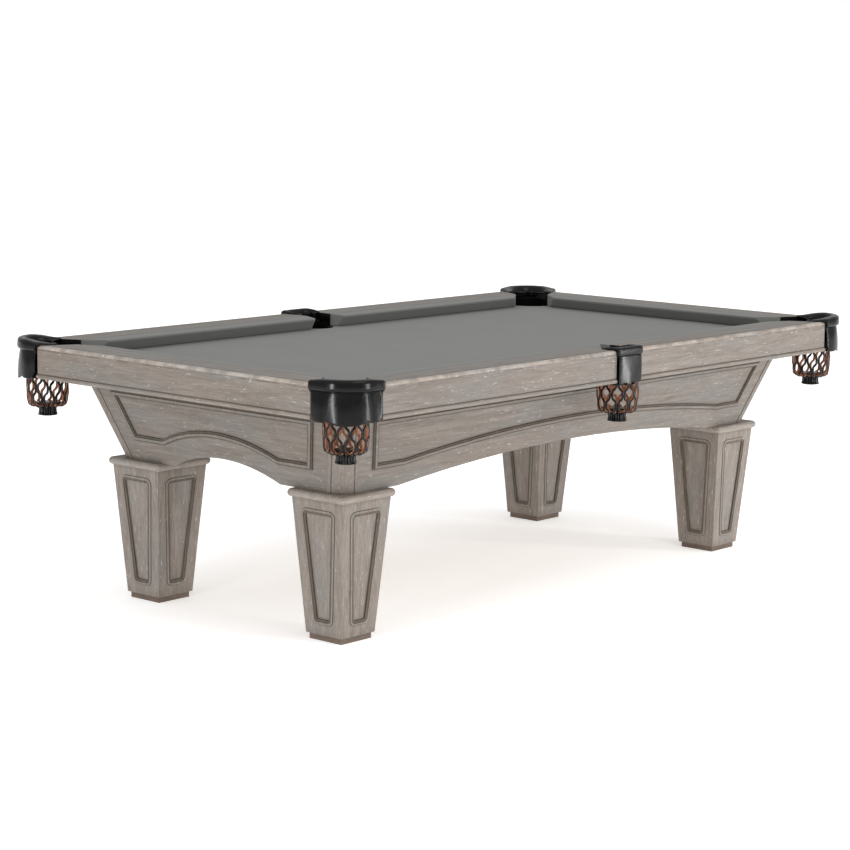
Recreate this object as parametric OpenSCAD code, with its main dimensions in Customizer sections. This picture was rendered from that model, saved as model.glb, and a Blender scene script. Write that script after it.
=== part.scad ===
// Pool table with six leather drop pockets, a flared cabinet and four tapered legs.
// Millimetres, +Z up. The origin is on the floor under the middle of the table.
// X runs along the table, Y across it, and the front is the -Y side.
// Corner details are drawn once, at the front left corner, and mirrored to the others.

/* [Table] */
// Length over the wooden rails
table_l = 2565; // [2500:1:2640]
// Width over the wooden rails
table_w = 1448; // [1420:1:1500]
// Height of the rail tops above the floor
table_h = 813; // [800:1:840]
// Width of a rail, from the cushion nose to its outer face
rail_w = 165; // [160:1:172]

/* [Rails] */
// Height of a rail's outer face
rail_h = 102; // [96:1:106]
// Thickness of the skirt that hangs at the outside of a rail
skirt_t = 24; // [20:1:28]
// Radius of the rounded outer top edge
rail_round = 12; // [8:1:16]
// Radius of the bead along the bottom of the skirt
bead_r = 6.5; // [5:0.5:8]
// Depth of the cushion in front of the wood
cushion_d = 50; // [46:1:54]
// Height of the cushion nose above the bed
nose_h = 37; // [35:1:38]

/* [Bed] */
// Drop from the rail tops to the bed
bed_drop = 43; // [42:1:46]
// Thickness of the bed cloth
cloth_t = 1; // [1:0.5:2]
// Thickness of the slate
slate_t = 25.4; // [19:0.1:26]
// Thickness of the wooden liner under the slate
liner_t = 19; // [16:1:22]

/* [Pockets] */
// Distance from the table's corner to the end of a rail, along its outer face
corner_gap = 142; // [138:1:146]
// Distance from the playfield's corner to the end of a cushion nose
corner_cut = 100; // [95:1:104]
// Angle between a corner facing and the line of its cushion nose
corner_face = 38; // [36:1:40]
// Gap between the rail ends at a side pocket, at the outer face
side_gap = 119; // [117:1:122]
// Width of a side pocket's mouth between the cushion noses
side_mouth = 139; // [134:1:142]
// Distance from both outer faces to the middle of a corner net
corner_net_c = 86; // [84:1:90]
// Distance from the outer face to the middle of a side net
side_net_c = 38; // [36:1:40]
// Outer radius of a net
net_r = 63; // [60:0.5:63]
// Height of the bottom of a net's bag
net_bottom = 613; // [605:1:620]

/* [Cabinet] */
// Height of the cabinet's bottom edge, which is the top of the legs
cabinet_z = 452; // [440:1:460]
// Half the cabinet's length at its bottom edge
cabinet_half_l = 1038; // [1030:1:1045]
// Half the cabinet's width at its bottom edge
cabinet_half_w = 480; // [475:1:485]
// Outward flare for each millimetre of height
flare = 0.343; // [0.3:0.001:0.36]
// Thickness of the apron boards
apron_t = 22; // [18:1:25]
// Half the span of the arch under a long apron
long_arch_half = 800; // [760:1:820]
// Rise of the arch under a long apron
long_arch_rise = 56; // [40:1:60]
// Half the span of the arch under an end apron
end_arch_half = 226; // [210:1:240]
// Rise of the arch under an end apron
end_arch_rise = 54; // [40:1:60]
// Radius of the rounded corner posts
post_r = 48; // [40:1:52]

/* [Legs] */
// Distance from a leg's middle to the table's end
leg_inset_x = 332.5; // [325:0.5:340]
// Distance from a leg's middle to the table's side
leg_inset_y = 332; // [325:0.5:340]
// Half the width of a leg at its top
leg_top_half = 103; // [98:1:106]
// Half the width of a leg at its bottom
leg_bottom_half = 72; // [68:1:76]
// Half the width of the cap moulding on a leg
cap_half = 116; // [112:1:120]
// Height of the cap moulding
cap_h = 24; // [20:1:28]
// Half the width of a foot block
foot_half = 64.5; // [60:0.5:66]
// Height of a foot block
foot_h = 19; // [18:1:24]

/* [Levellers] */
// Radius of the levelling screw
stud_r = 6; // [5:0.5:6]
// Radial clearance between the screw and its nut
stud_clearance = 0.05; // [0.02:0.01:0.08]
// Clearance between the pad and the floor before it is wound down
pad_lift = 1; // [1:0.5:2]

/* [Hidden] */

$fn = 64;
wood = [0.56, 0.52, 0.49];
dark_wood = [0.42, 0.35, 0.31];
plain_wood = [0.72, 0.6, 0.45];
cloth = [0.5, 0.5, 0.49];
slate = [0.3, 0.31, 0.32];
leather = [0.08, 0.08, 0.08];
metal = [0.6, 0.6, 0.62];

// Half sizes and the heights of the layers
half_l = table_l / 2;
half_w = table_w / 2;
bed_z = table_h - bed_drop;
slate_top = bed_z - cloth_t;
slate_bottom = slate_top - slate_t;
liner_bottom = slate_bottom - liner_t;
skirt_bottom = table_h - rail_h;
wood_d = rail_w - cushion_d;
gap = 0.5;
far = 400;
tall = 300;

// Corner pocket outline: u and v are distances from the two outer faces
corner_back = rail_w + corner_cut - cushion_d / tan(corner_face);
end_slope = (corner_back - corner_gap) / wood_d;
nose_u = rail_w + corner_cut;
// Side pocket outline: half the opening at the back and at the front of the cushion
side_half = side_gap / 2;
side_nose_half = side_mouth / 2;
side_back_half = side_half - 2.5;
// Round cuts in the bed at the pockets
corner_hole_c = 106;
corner_hole_r = 95;
side_hole_r = 66;
side_drop_c = rail_w - 5 - side_hole_r;
// Slates
slate_edge = 84;
slate_joint_x = (table_l - 2 * slate_edge) / 6;
liner_edge = 124;
cloth_edge = 112;
bolt_edge = 100;

// Cabinet
tilt = atan(flare);
apron_top = 239;
band_w = 14;
post_w = post_r + band_w;
moulding_inset = 122;
moulding_rise = 70;
moulding_w = 20;
bead_inset = 6;

// Legs
leg_x = half_l - leg_inset_x;
leg_y = half_w - leg_inset_y;
cap_z = cabinet_z - cap_h;
leg_h = cap_z - foot_h;
leg_taper = (leg_top_half - leg_bottom_half) / leg_h;
leg_tilt = atan(leg_taper);
leg_face_h = leg_h / cos(leg_tilt);
stile_w = 32;
panel_bottom = 31;
panel_top = leg_face_h - 27;
panel_depth = 6;
panel_bead_w = 17;
panel_corner_r = 22;
corner_steps = 5;
foot_hole_r = 26;
leg_bolt_x = [-45, 45];
block_t = 40;

// Levelling screws
nut_t = 13;
nut_af_r = 10.5;
pad_r = 23;
pad_t = 8;
socket_r = 5;
stud_bottom = pad_lift + pad_t + 0.3;
stud_top = 62;
wrench_h = 7;

function half_l_at(z) = cabinet_half_l + flare * (z - cabinet_z);
function half_w_at(z) = cabinet_half_w + flare * (z - cabinet_z);
// u of the rail's end at depth v, moved by e towards the pocket
function end_u(v, e = 0) = corner_gap + v * end_slope - e * sqrt(1 + end_slope * end_slope);
function side_u(v, e = 0) = side_half - 2.5 * v / wood_d - e;
function arch_r(half_span, rise) = (half_span * half_span + rise * rise) / (2 * rise);

// Places a child drawn at the front left corner at one of the four corners
module at_corner(sx, sy) {
    mirror([sx > 0 ? 1 : 0, 0, 0]) mirror([0, sy > 0 ? 1 : 0, 0]) children();
}
module four_corners() {
    for (sx = [-1, 1], sy = [-1, 1]) at_corner(sx, sy) children();
}
module front_and_back() {
    for (sy = [-1, 1]) at_corner(-1, sy) children();
}
// Turns corner coordinates (u, v) into the table's own at the front left corner
module corner_frame() {
    translate([-half_l, -half_w, 0]) children();
}
// Side pocket coordinates: v is the distance from the front outer face
module side_frame() {
    translate([0, -half_w, 0]) children();
}
module at_leg() {
    translate([-leg_x, -leg_y, 0]) children();
}
// Lays a drawing of a front board on the slope of the cabinet, x along it and y up it
module on_front_slope() {
    translate([0, -cabinet_half_w, cabinet_z]) rotate([90 + tilt, 0, 0]) children();
}
// The same for the left end
module on_left_slope() {
    rotate([0, 0, -90]) translate([0, -cabinet_half_l, cabinet_z]) rotate([90 + tilt, 0, 0]) children();
}

// ---------- Legs ----------

// Points of a quarter round corner, its two straight sides meeting at x, y, drawn anticlockwise
function round_corner(x, y, sx, sy, r, start) = [
    for (step = [0 : corner_steps])
        [x - sx * r + r * cos(start + 90 * step / corner_steps),
         y - sy * r + r * sin(start + 90 * step / corner_steps)]
];
module leg_panel_outline(inset) {
    low = leg_bottom_half + leg_taper * panel_bottom * cos(leg_tilt) - stile_w - inset;
    high = leg_bottom_half + leg_taper * panel_top * cos(leg_tilt) - stile_w - inset;
    r = panel_corner_r - inset;
    polygon(concat(
        round_corner(low, panel_bottom + inset, 1, -1, r, -90),
        round_corner(high, panel_top - inset, 1, 1, r, 0),
        round_corner(-high, panel_top - inset, -1, 1, r, 90),
        round_corner(-low, panel_bottom + inset, -1, -1, r, 180)
    ));
}
// Lays a drawing on one face of a leg, x across it and y up it
module on_leg_faces() {
    for (turn = [0, 90, 180, 270]) rotate([0, 0, turn])
        translate([0, -leg_bottom_half, foot_h]) rotate([90 + leg_tilt, 0, 0]) children();
}
module leg_body(sx, sy) {
    color(wood) at_corner(sx, sy) at_leg() difference() {
        translate([0, 0, foot_h]) linear_extrude(leg_h, scale = leg_top_half / leg_bottom_half)
            square(2 * leg_bottom_half, center = true);
        on_leg_faces() translate([0, 0, -panel_depth]) linear_extrude(2 * panel_depth) leg_panel_outline(0);
        translate([0, 0, foot_h - 1]) cylinder(r = stud_r + 2, h = stud_top);
        translate([0, 0, foot_h - 1]) cylinder(r = nut_af_r + 0.2, h = nut_t + 1, $fn = 6);
        for (dx = leg_bolt_x) translate([dx, 0, cap_z - 60]) cylinder(r = 6.05, h = 61);
    }
}
module leg_panel_mouldings() {
    color(wood) four_corners() at_leg() on_leg_faces() {
        translate([0, 0, -panel_depth]) linear_extrude(panel_depth) difference() {
            leg_panel_outline(0);
            leg_panel_outline(panel_bead_w);
        }
        linear_extrude(2) difference() {
            leg_panel_outline(2);
            leg_panel_outline(panel_bead_w / 2);
        }
    }
}
module leg_caps() {
    round_r = cap_h / 2;
    flat = cap_half - round_r;
    color(wood) four_corners() at_leg() translate([0, 0, cap_z]) difference() {
        union() {
            translate([-flat, -flat, 0]) cube([2 * flat, 2 * flat, cap_h]);
            for (turn = [0, 90, 180, 270]) rotate([0, 0, turn]) {
                translate([-flat, -flat, round_r]) rotate([0, 90, 0]) cylinder(r = round_r, h = 2 * flat);
                translate([-flat, -flat, round_r]) sphere(r = round_r);
            }
        }
        for (dx = leg_bolt_x) translate([dx, 0, -1]) cylinder(r = 6.3, h = cap_h + 2);
    }
}
module foot_block(sx, sy) {
    color(dark_wood) at_corner(sx, sy) at_leg() difference() {
        translate([-foot_half, -foot_half, 0]) cube([2 * foot_half, 2 * foot_half, foot_h]);
        translate([0, 0, -1]) cylinder(r = foot_hole_r, h = foot_h + 2);
    }
}
module leg_bolts() {
    depth = 58;
    color(metal) four_corners() at_leg() for (dx = leg_bolt_x) translate([dx, 0, 0]) {
        translate([0, 0, cap_z - depth]) cylinder(r = 6, h = depth + cap_h + block_t);
        translate([0, 0, cabinet_z + block_t]) cylinder(r = 11.5, h = 8, $fn = 6);
    }
}

// ---------- Levelling screws ----------

module leveler_nuts() {
    color(metal) four_corners() at_leg() translate([0, 0, foot_h]) difference() {
        cylinder(r = nut_af_r, h = nut_t, $fn = 6);
        translate([0, 0, -1]) cylinder(r = stud_r + stud_clearance, h = nut_t + 2);
    }
}
module leveler_pad(sx, sy) {
    color(leather) at_corner(sx, sy) at_leg() translate([0, 0, pad_lift]) difference() {
        cylinder(r = pad_r, h = pad_t);
        translate([0, 0, 3]) cylinder(r = socket_r + stud_clearance, h = pad_t);
    }
}
module leveler_stud(sx, sy) {
    color(metal) at_corner(sx, sy) at_leg() {
        translate([0, 0, pad_lift + 3.3]) cylinder(r = socket_r, h = stud_bottom - pad_lift - 3.3);
        translate([0, 0, stud_bottom]) cylinder(r = 9.5, h = wrench_h, $fn = 6);
        translate([0, 0, stud_bottom]) cylinder(r = stud_r, h = stud_top - stud_bottom);
    }
}

// ---------- Cabinet ----------

// Outline of a board or frame: half is its half length at the cabinet's bottom edge
module sloped_outline(half, inset, low, high, arch_half, arch_rise) {
    radius = arch_r(arch_half, arch_rise);
    k = flare * cos(tilt);
    difference() {
        polygon([
            [-(half - inset + k * low), low], [half - inset + k * low, low],
            [half - inset + k * high, high], [-(half - inset + k * high), high]
        ]);
        translate([0, arch_rise - radius]) circle(r = radius + max(low, 0), $fn = 360);
    }
}
module apron_slab() {
    translate([-half_l, -half_w, cabinet_z]) cube([table_l, table_w, liner_bottom - cabinet_z]);
}
module long_apron(sy) {
    high = (liner_bottom - cabinet_z) / cos(tilt) + 1;
    color(wood) at_corner(-1, sy) intersection() {
        on_front_slope() translate([0, 0, -apron_t]) linear_extrude(apron_t)
            sloped_outline(cabinet_half_l, post_w, -8, high, long_arch_half, long_arch_rise);
        apron_slab();
    }
}
module end_apron(sx) {
    high = (liner_bottom - cabinet_z) / cos(tilt) + 1;
    color(wood) at_corner(sx, -1) intersection() {
        on_left_slope() translate([0, 0, -apron_t]) linear_extrude(apron_t)
            sloped_outline(cabinet_half_w, post_w, -8, high, end_arch_half, end_arch_rise);
        apron_slab();
    }
}
// A frame of moulding parallel to the edges of an apron, with a raised bead along its middle
module moulding_frame(half, arch_half, arch_rise) {
    for (step = [[0, 5], [bead_inset, 8]]) linear_extrude(step[1]) difference() {
        sloped_outline(half, moulding_inset + step[0], moulding_rise + step[0],
            apron_top - step[0], arch_half, arch_rise);
        sloped_outline(half, moulding_inset + moulding_w - step[0], moulding_rise + moulding_w - step[0],
            apron_top - moulding_w + step[0], arch_half, arch_rise);
    }
}
module apron_mouldings() {
    color(wood) {
        front_and_back() on_front_slope() moulding_frame(cabinet_half_l, long_arch_half, long_arch_rise);
        for (sx = [-1, 1]) at_corner(sx, -1) on_left_slope()
            moulding_frame(cabinet_half_w, end_arch_half, end_arch_rise);
    }
}
// A rounded post with a flat bead beside each apron, leaning outwards with both of them
module corner_posts() {
    post_h = liner_bottom - cabinet_z;
    color(wood) four_corners() translate([-cabinet_half_l, -cabinet_half_w, cabinet_z])
        multmatrix([[1, 0, -flare, 0], [0, 1, -flare, 0], [0, 0, 1, 0]]) linear_extrude(post_h) {
            difference() {
                square(post_w);
                difference() {
                    translate([-1, -1]) square(post_r + 1);
                    translate([post_r, post_r]) circle(r = post_r);
                }
            }
            translate([post_r, -2]) square([band_w, 2.5]);
            translate([-2, post_r]) square([2.5, band_w]);
        }
}
// Thick plates in the cabinet's corners, notched round the posts, that the leg bolts pass through
module corner_blocks() {
    edge = -64;
    post_edge = -25;
    color(plain_wood) four_corners() at_leg() translate([0, 0, cabinet_z]) difference() {
        translate([edge, edge, 0]) cube([150, 150, block_t]);
        translate([edge - 1, edge - 1, -1]) cube([post_edge - edge + 1, post_edge - edge + 1, block_t + 2]);
        for (dx = leg_bolt_x) translate([dx, 0, -1]) cylinder(r = 6.3, h = block_t + 2);
    }
}
module cross_beams() {
    low = 560;
    color(plain_wood) for (x = [-slate_joint_x, slate_joint_x]) translate([x - 19, 0, 0])
        rotate([90, 0, 90]) linear_extrude(38) polygon([
            [-half_w_at(low) + apron_t / cos(tilt) + gap, low], [half_w_at(low) - apron_t / cos(tilt) - gap, low],
            [half_w_at(liner_bottom) - apron_t / cos(tilt) - gap, liner_bottom],
            [-half_w_at(liner_bottom) + apron_t / cos(tilt) + gap, liner_bottom]
        ]);
}
module centre_beam() {
    half = slate_joint_x - 19;
    color(plain_wood) translate([-half, -19, 600]) cube([2 * half, 38, liner_bottom - 600]);
}

// ---------- Bed ----------

// The round cuts that the pockets make in every layer of the bed
module pocket_cuts() {
    for (sx = [0, 1], sy = [0, 1]) mirror([sx, 0]) mirror([0, sy])
        translate([-half_l + corner_hole_c, -half_w + corner_hole_c]) circle(r = corner_hole_r);
    for (sy = [0, 1]) mirror([0, sy]) translate([0, -half_w]) {
        translate([0, side_net_c]) circle(r = side_hole_r);
        translate([0, side_drop_c]) circle(r = side_hole_r);
        translate([-side_hole_r, side_net_c]) square([2 * side_hole_r, side_drop_c - side_net_c]);
    }
}
// A rectangle from x0 to x1, held back from the table's edges, less the pocket cuts
module bed_layer(x0, x1, edge) {
    difference() {
        translate([x0, -half_w + edge]) square([x1 - x0, table_w - 2 * edge]);
        pocket_cuts();
    }
}
slate_screw_x = [-1120, -760, -450, -350, 350, 450, 760, 1120];
rail_bolt_x = [-950, -600, -250, 250, 600, 950];
end_bolt_y = [-350, 0, 350];
module slate_screw_places() {
    for (x = slate_screw_x, y = [-480, 480]) translate([x, y, 0]) children();
}
module rail_bolt_places() {
    for (x = rail_bolt_x, y = [-1, 1]) translate([x, y * (half_w - bolt_edge), 0]) children();
    for (y = end_bolt_y, x = [-1, 1]) translate([x * (half_l - bolt_edge), y, 0]) children();
}
module slate_piece(x0, x1) {
    color(slate) difference() {
        translate([0, 0, slate_bottom]) linear_extrude(slate_t) bed_layer(x0, x1, slate_edge);
        slate_screw_places() translate([0, 0, slate_bottom - 1]) cylinder(r = 4.3, h = slate_t + 2);
        slate_screw_places() translate([0, 0, slate_top - 3.5]) cylinder(r = 8.3, h = 5);
        rail_bolt_places() translate([0, 0, slate_bottom - 1]) cylinder(r = 5.4, h = slate_t + 2);
    }
}
module slate_liner() {
    color(plain_wood) difference() {
        translate([0, 0, liner_bottom]) linear_extrude(liner_t)
            bed_layer(-half_l + liner_edge, half_l - liner_edge, liner_edge);
        slate_screw_places() translate([0, 0, liner_bottom - 1]) cylinder(r = 4.3, h = liner_t + 2);
    }
}
module slate_screws() {
    color(metal) slate_screw_places() {
        translate([0, 0, liner_bottom]) cylinder(r = 4, h = slate_top - 1 - liner_bottom);
        translate([0, 0, slate_top - 3.2]) cylinder(r = 8, h = 3);
    }
}
module bed_cloth() {
    color(cloth) translate([0, 0, slate_top]) linear_extrude(cloth_t)
        bed_layer(-half_l + cloth_edge, half_l - cloth_edge, cloth_edge);
}

// ---------- Rails ----------

// Cross-section of a rail: x is the distance in from its outer face, y is the height
module rail_section() {
    difference() {
        union() {
            translate([0, skirt_bottom]) square([skirt_t, rail_h]);
            translate([0, bed_z]) square([wood_d, bed_drop]);
        }
        difference() {
            translate([-1, table_h - rail_round]) square(rail_round + 1);
            translate([rail_round, table_h - rail_round]) circle(r = rail_round);
        }
        translate([-1, skirt_bottom + 2 * bead_r]) circle(r = 3);
    }
    translate([2, skirt_bottom + bead_r]) circle(r = bead_r);
}
// Cross-section of a cushion: x is the distance behind its nose
module cushion_section() {
    polygon([
        [cushion_d, bed_z], [24, bed_z], [3, bed_z + nose_h - 6], [0, bed_z + nose_h - 2],
        [0, bed_z + nose_h + 1], [3, bed_z + nose_h + 3], [cushion_d, table_h]
    ]);
}
// Sweeps a section along the front of the table, starting at depth v from its outer face
module along_front(v) {
    translate([-half_l, -half_w + v, 0]) rotate([90, 0, 90]) linear_extrude(table_l) children();
}
module along_left(v) {
    translate([-half_l + v, half_w, 0]) rotate([90, 0, 0]) linear_extrude(table_w) children();
}
module upright(outline_low = skirt_bottom - 1) {
    translate([0, 0, outline_low]) linear_extrude(tall) children();
}
module front_rail(sx, sy) {
    color(wood) at_corner(sx, sy) difference() {
        intersection() {
            along_front(0) rail_section();
            upright() polygon([
                [-half_l + end_u(-20), -half_w - 20], [-side_u(-20), -half_w - 20],
                [-side_u(wood_d), -half_w + wood_d], [-half_l + end_u(wood_d), -half_w + wood_d]
            ]);
        }
        rail_bolt_places() translate([0, 0, bed_z - 1]) cylinder(r = 5.05, h = 31);
        sight_places() translate([0, 0, table_h - 2]) cylinder(r = 6.1, h = 3);
    }
}
module end_rail(sx) {
    color(wood) at_corner(sx, -1) difference() {
        intersection() {
            along_left(0) rail_section();
            upright() polygon([
                [-half_l - 20, -half_w + end_u(-20)], [-half_l + wood_d, -half_w + end_u(wood_d)],
                [-half_l + wood_d, half_w - end_u(wood_d)], [-half_l - 20, half_w - end_u(-20)]
            ]);
        }
        rail_bolt_places() translate([0, 0, bed_z - 1]) cylinder(r = 5.05, h = 31);
        sight_places() translate([0, 0, table_h - 2]) cylinder(r = 6.1, h = 3);
    }
}
module front_cushion(sx, sy) {
    color(cloth) at_corner(sx, sy) intersection() {
        along_front(rail_w) mirror([1, 0]) cushion_section();
        upright() polygon([
            [-half_l + corner_back, -half_w + wood_d], [-side_back_half, -half_w + wood_d],
            [-side_nose_half, -half_w + rail_w], [-half_l + nose_u, -half_w + rail_w]
        ]);
    }
}
module end_cushion(sx) {
    color(cloth) at_corner(sx, -1) intersection() {
        along_left(rail_w) mirror([1, 0]) cushion_section();
        upright() polygon([
            [-half_l + wood_d, -half_w + corner_back], [-half_l + rail_w, -half_w + nose_u],
            [-half_l + rail_w, half_w - nose_u], [-half_l + wood_d, half_w - corner_back]
        ]);
    }
}
module rail_bolts() {
    color(metal) rail_bolt_places() {
        translate([0, 0, slate_bottom - 10]) cylinder(r = 9, h = 8, $fn = 6);
        translate([0, 0, slate_bottom - 2]) cylinder(r = 13, h = 2);
        translate([0, 0, slate_bottom - 2]) cylinder(r = 5, h = slate_t + 30);
    }
}
// Sights divide the length in eight and the width in four between the cushion noses
module sight_places() {
    step_x = (table_l - 2 * rail_w) / 8;
    step_y = (table_w - 2 * rail_w) / 4;
    for (i = [1, 2, 3, 5, 6, 7], sy = [-1, 1])
        translate([(i - 4) * step_x, sy * (half_w - wood_d / 2 - 6), 0]) children();
    for (i = [1, 2, 3], sx = [-1, 1])
        translate([sx * (half_l - wood_d / 2 - 6), (i - 2) * step_y, 0]) children();
}
module rail_sights() {
    color(leather) sight_places() translate([0, 0, table_h - 2]) cylinder(r = 6, h = 2);
}

// ---------- Pockets ----------

// Outline of a corner pocket, e clear of the rail ends, out past the faces and reach deep
module corner_outline(e, out, reach, round_c) {
    difference() {
        polygon([
            [-out, -out], [end_u(-out, e), -out], [end_u(reach, e), reach],
            [reach, end_u(reach, e)], [-out, end_u(-out, e)]
        ]);
        difference() {
            translate([-out - 1, -out - 1]) square(round_c + out + 1);
            translate([round_c, round_c]) circle(r = round_c + out);
        }
    }
}
// The hole in a corner iron: a circle that opens towards the bed between two pointed horns
module corner_throat(hole_r, horn_v) {
    lean = hole_r * sin(45);
    tip = end_u(horn_v, 2);
    translate([corner_net_c, corner_net_c]) circle(r = hole_r);
    polygon([
        [corner_net_c + lean, corner_net_c - lean], [tip, horn_v], [tip + far, horn_v + far],
        [horn_v + far, tip + far], [horn_v, tip], [corner_net_c - lean, corner_net_c + lean]
    ]);
}
iron_out = 12;
iron_low = bed_z + 16;
rim_low = bed_z + 23;
rim_top = table_h + 8;
lip = 5;
horn_v = 58;
iron_hole_r = 60;
module corner_iron() {
    corner_frame() {
        // Casting between the rail ends
        translate([0, 0, iron_low]) linear_extrude(table_h - iron_low) difference() {
            corner_outline(gap, 0, horn_v, 100);
            corner_throat(iron_hole_r, horn_v);
        }
        // Rolled rim in front of the outer faces
        translate([0, 0, rim_low]) linear_extrude(table_h - rim_low) difference() {
            corner_outline(-lip, iron_out, 20, 100);
            corner_outline(-far / 4, 0.3, far, 100);
        }
        translate([0, 0, rim_low]) linear_extrude(table_h - rim_low) difference() {
            corner_outline(gap, iron_out - 1, 20, 100);
            corner_throat(iron_hole_r, horn_v);
        }
        // Lip that laps over the rail tops
        translate([0, 0, table_h]) linear_extrude(rim_top - table_h) difference() {
            corner_outline(-lip, iron_out, horn_v, 100);
            corner_throat(iron_hole_r + 2, horn_v);
        }
        // Ears bolted to the rail ends
        translate([0, 0, bed_z + 1]) linear_extrude(table_h - 2 - bed_z) for (swap = [0, 1])
            mirror([swap, -swap]) polygon([
                [end_u(30, gap), 30], [end_u(wood_d - 1, gap), wood_d - 1],
                [end_u(wood_d - 1, gap + 4), wood_d - 1], [end_u(30, gap + 4), 30]
            ]);
    }
}
// Opening of a side iron: rounded corners at the front, widening to the tips of the arms
module side_throat(half, front, tip_v) {
    round_r = 24;
    for (x = [round_r - half, half - round_r]) translate([x, front + round_r]) circle(r = round_r);
    translate([round_r - half, front]) square([2 * (half - round_r), round_r]);
    polygon([
        [-half, front + round_r], [half, front + round_r],
        [side_u(tip_v, 1), tip_v + 1], [-side_u(tip_v, 1), tip_v + 1]
    ]);
}
module side_iron() {
    tip_v = 66;
    side_frame() {
        translate([0, 0, iron_low]) linear_extrude(table_h - iron_low) difference() {
            polygon([
                [-side_u(0, gap), 0], [side_u(0, gap), 0], [side_u(tip_v, gap), tip_v], [-side_u(tip_v, gap), tip_v]
            ]);
            side_throat(50, 9, tip_v);
        }
        translate([0, 0, rim_low]) linear_extrude(table_h - rim_low) {
            translate([-side_half - lip, -iron_out]) square([side_gap + 2 * lip, iron_out - 0.3]);
            translate([-side_u(0, gap), -1]) square([2 * side_u(0, gap), 2]);
        }
        translate([0, 0, table_h]) linear_extrude(rim_top - table_h) difference() {
            polygon([
                [-side_half - lip, -iron_out], [side_half + lip, -iron_out], [side_half + lip, 20],
                [side_u(tip_v, -1), tip_v], [-side_u(tip_v, -1), tip_v], [-side_half - lip, 20]
            ]);
            side_throat(51, 8, tip_v);
        }
        translate([0, 0, bed_z + 1]) linear_extrude(table_h - 2 - bed_z) for (side = [0, 1])
            mirror([side, 0]) polygon([
                [side_u(24.5, gap), 24.5], [side_u(wood_d - 1, gap), wood_d - 1],
                [side_u(wood_d - 1, gap + 4), wood_d - 1], [side_u(24.5, gap + 4), 24.5]
            ]);
    }
}
module corner_irons() {
    color(leather) four_corners() corner_iron();
}
module side_irons() {
    color(leather) front_and_back() side_iron();
}

shield_t = 5;
shield_gap = 4;
shield_bottom = 700;
module corner_shields() {
    notch_angle = 25.6;
    shield_out = shield_gap + shield_t;
    color(leather) four_corners() corner_frame() difference() {
        translate([0, 0, shield_bottom]) linear_extrude(rim_low - shield_bottom) difference() {
            corner_outline(3, shield_out, -shield_gap + 0.1, 100);
            corner_outline(-far / 4, shield_gap, far, 100);
        }
        for (side = [-1, 1]) translate([100, 100, shield_bottom - 2]) rotate([0, 0, 45 + side * notch_angle])
            rotate([0, -90, 0]) cylinder(r = 12, h = 130);
    }
}
module side_shields() {
    color(leather) front_and_back() side_frame()
        translate([-side_half, -shield_gap - shield_t - 5, shield_bottom + 2])
            cube([side_gap, shield_t, rim_low - shield_bottom - 2]);
}

net_wall = 5;
bag_top = 690;
waist_z = 701;
funnel_top = 764;
tassel_r = 30;
tassel_h = 30;
// Bag of a net and the gathered tassel under it
module net_bag(r) {
    rotate_extrude() polygon([
        [0, net_bottom - tassel_h], [tassel_r, net_bottom - tassel_h], [tassel_r, net_bottom - 2],
        [r - 8, net_bottom + 3], [r, net_bottom + 14], [r, bag_top + 2],
        [r - net_wall, bag_top + 2], [r - net_wall, net_bottom + 18], [r - net_wall - 8, net_bottom + 9],
        [0, net_bottom + 9]
    ]);
}
// Leather funnel: each level is [height, circles], and each circle [x, y, radius]
module net_funnel(levels, inside) {
    for (i = [1 : len(levels) - 1]) hull() for (level = [levels[i - 1], levels[i]], c = level[1])
        translate([c[0], c[1], level[0]]) cylinder(r = c[2] - inside, h = 1, $fn = 32);
}
module net(mouth, waist, bag) {
    levels = [[funnel_top - 1, mouth], [waist_z, [waist]], [bag_top, [bag]]];
    difference() {
        net_funnel(levels, 0);
        translate([0, 0, 0.1]) net_funnel(levels, net_wall);
        translate([bag[0], bag[1], bag_top - 1]) cylinder(r = bag[2] - net_wall - 0.5, h = 3);
    }
    translate([bag[0], bag[1], 0]) net_bag(bag[2]);
}
module corner_net(sx, sy) {
    color(leather) at_corner(sx, sy) corner_frame() net(
        [[corner_hole_c, corner_hole_c, corner_hole_r - 5]],
        [corner_net_c + 3, corner_net_c + 3, net_r + 4], [corner_net_c, corner_net_c, net_r]
    );
}
module side_net(sy) {
    color(leather) at_corner(-1, sy) side_frame() net(
        [[0, side_drop_c, side_hole_r - 2], [0, side_net_c + 10, 54]],
        [0, side_net_c + 12, net_r - 6], [0, side_net_c, net_r]
    );
}

leg_body(-1, -1);  // leg_body_front_left
leg_body(1, -1);  // leg_body_front_right
leg_body(-1, 1);  // leg_body_back_left
leg_body(1, 1);  // leg_body_back_right
foot_block(-1, -1);  // foot_block_front_left
foot_block(1, -1);  // foot_block_front_right
foot_block(-1, 1);  // foot_block_back_left
foot_block(1, 1);  // foot_block_back_right
leveler_pad(-1, -1);  // leveler_pad_front_left
leveler_pad(1, -1);  // leveler_pad_front_right
leveler_pad(-1, 1);  // leveler_pad_back_left
leveler_pad(1, 1);  // leveler_pad_back_right
leveler_stud(-1, -1);  // leveler_stud_front_left
leveler_stud(1, -1);  // leveler_stud_front_right
leveler_stud(-1, 1);  // leveler_stud_back_left
leveler_stud(1, 1);  // leveler_stud_back_right
leveler_nuts();
leg_caps();
leg_panel_mouldings();
leg_bolts();
long_apron(-1);  // apron_front
long_apron(1);  // apron_back
end_apron(-1);  // apron_left
end_apron(1);  // apron_right
corner_posts();
corner_blocks();
apron_mouldings();
cross_beams();
centre_beam();
slate_liner();
slate_piece(-half_l + slate_edge, -slate_joint_x);  // slate_left
slate_piece(-slate_joint_x, slate_joint_x);  // slate_middle
slate_piece(slate_joint_x, half_l - slate_edge);  // slate_right
slate_screws();
bed_cloth();
front_rail(-1, -1);  // rail_front_left
front_rail(1, -1);  // rail_front_right
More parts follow.
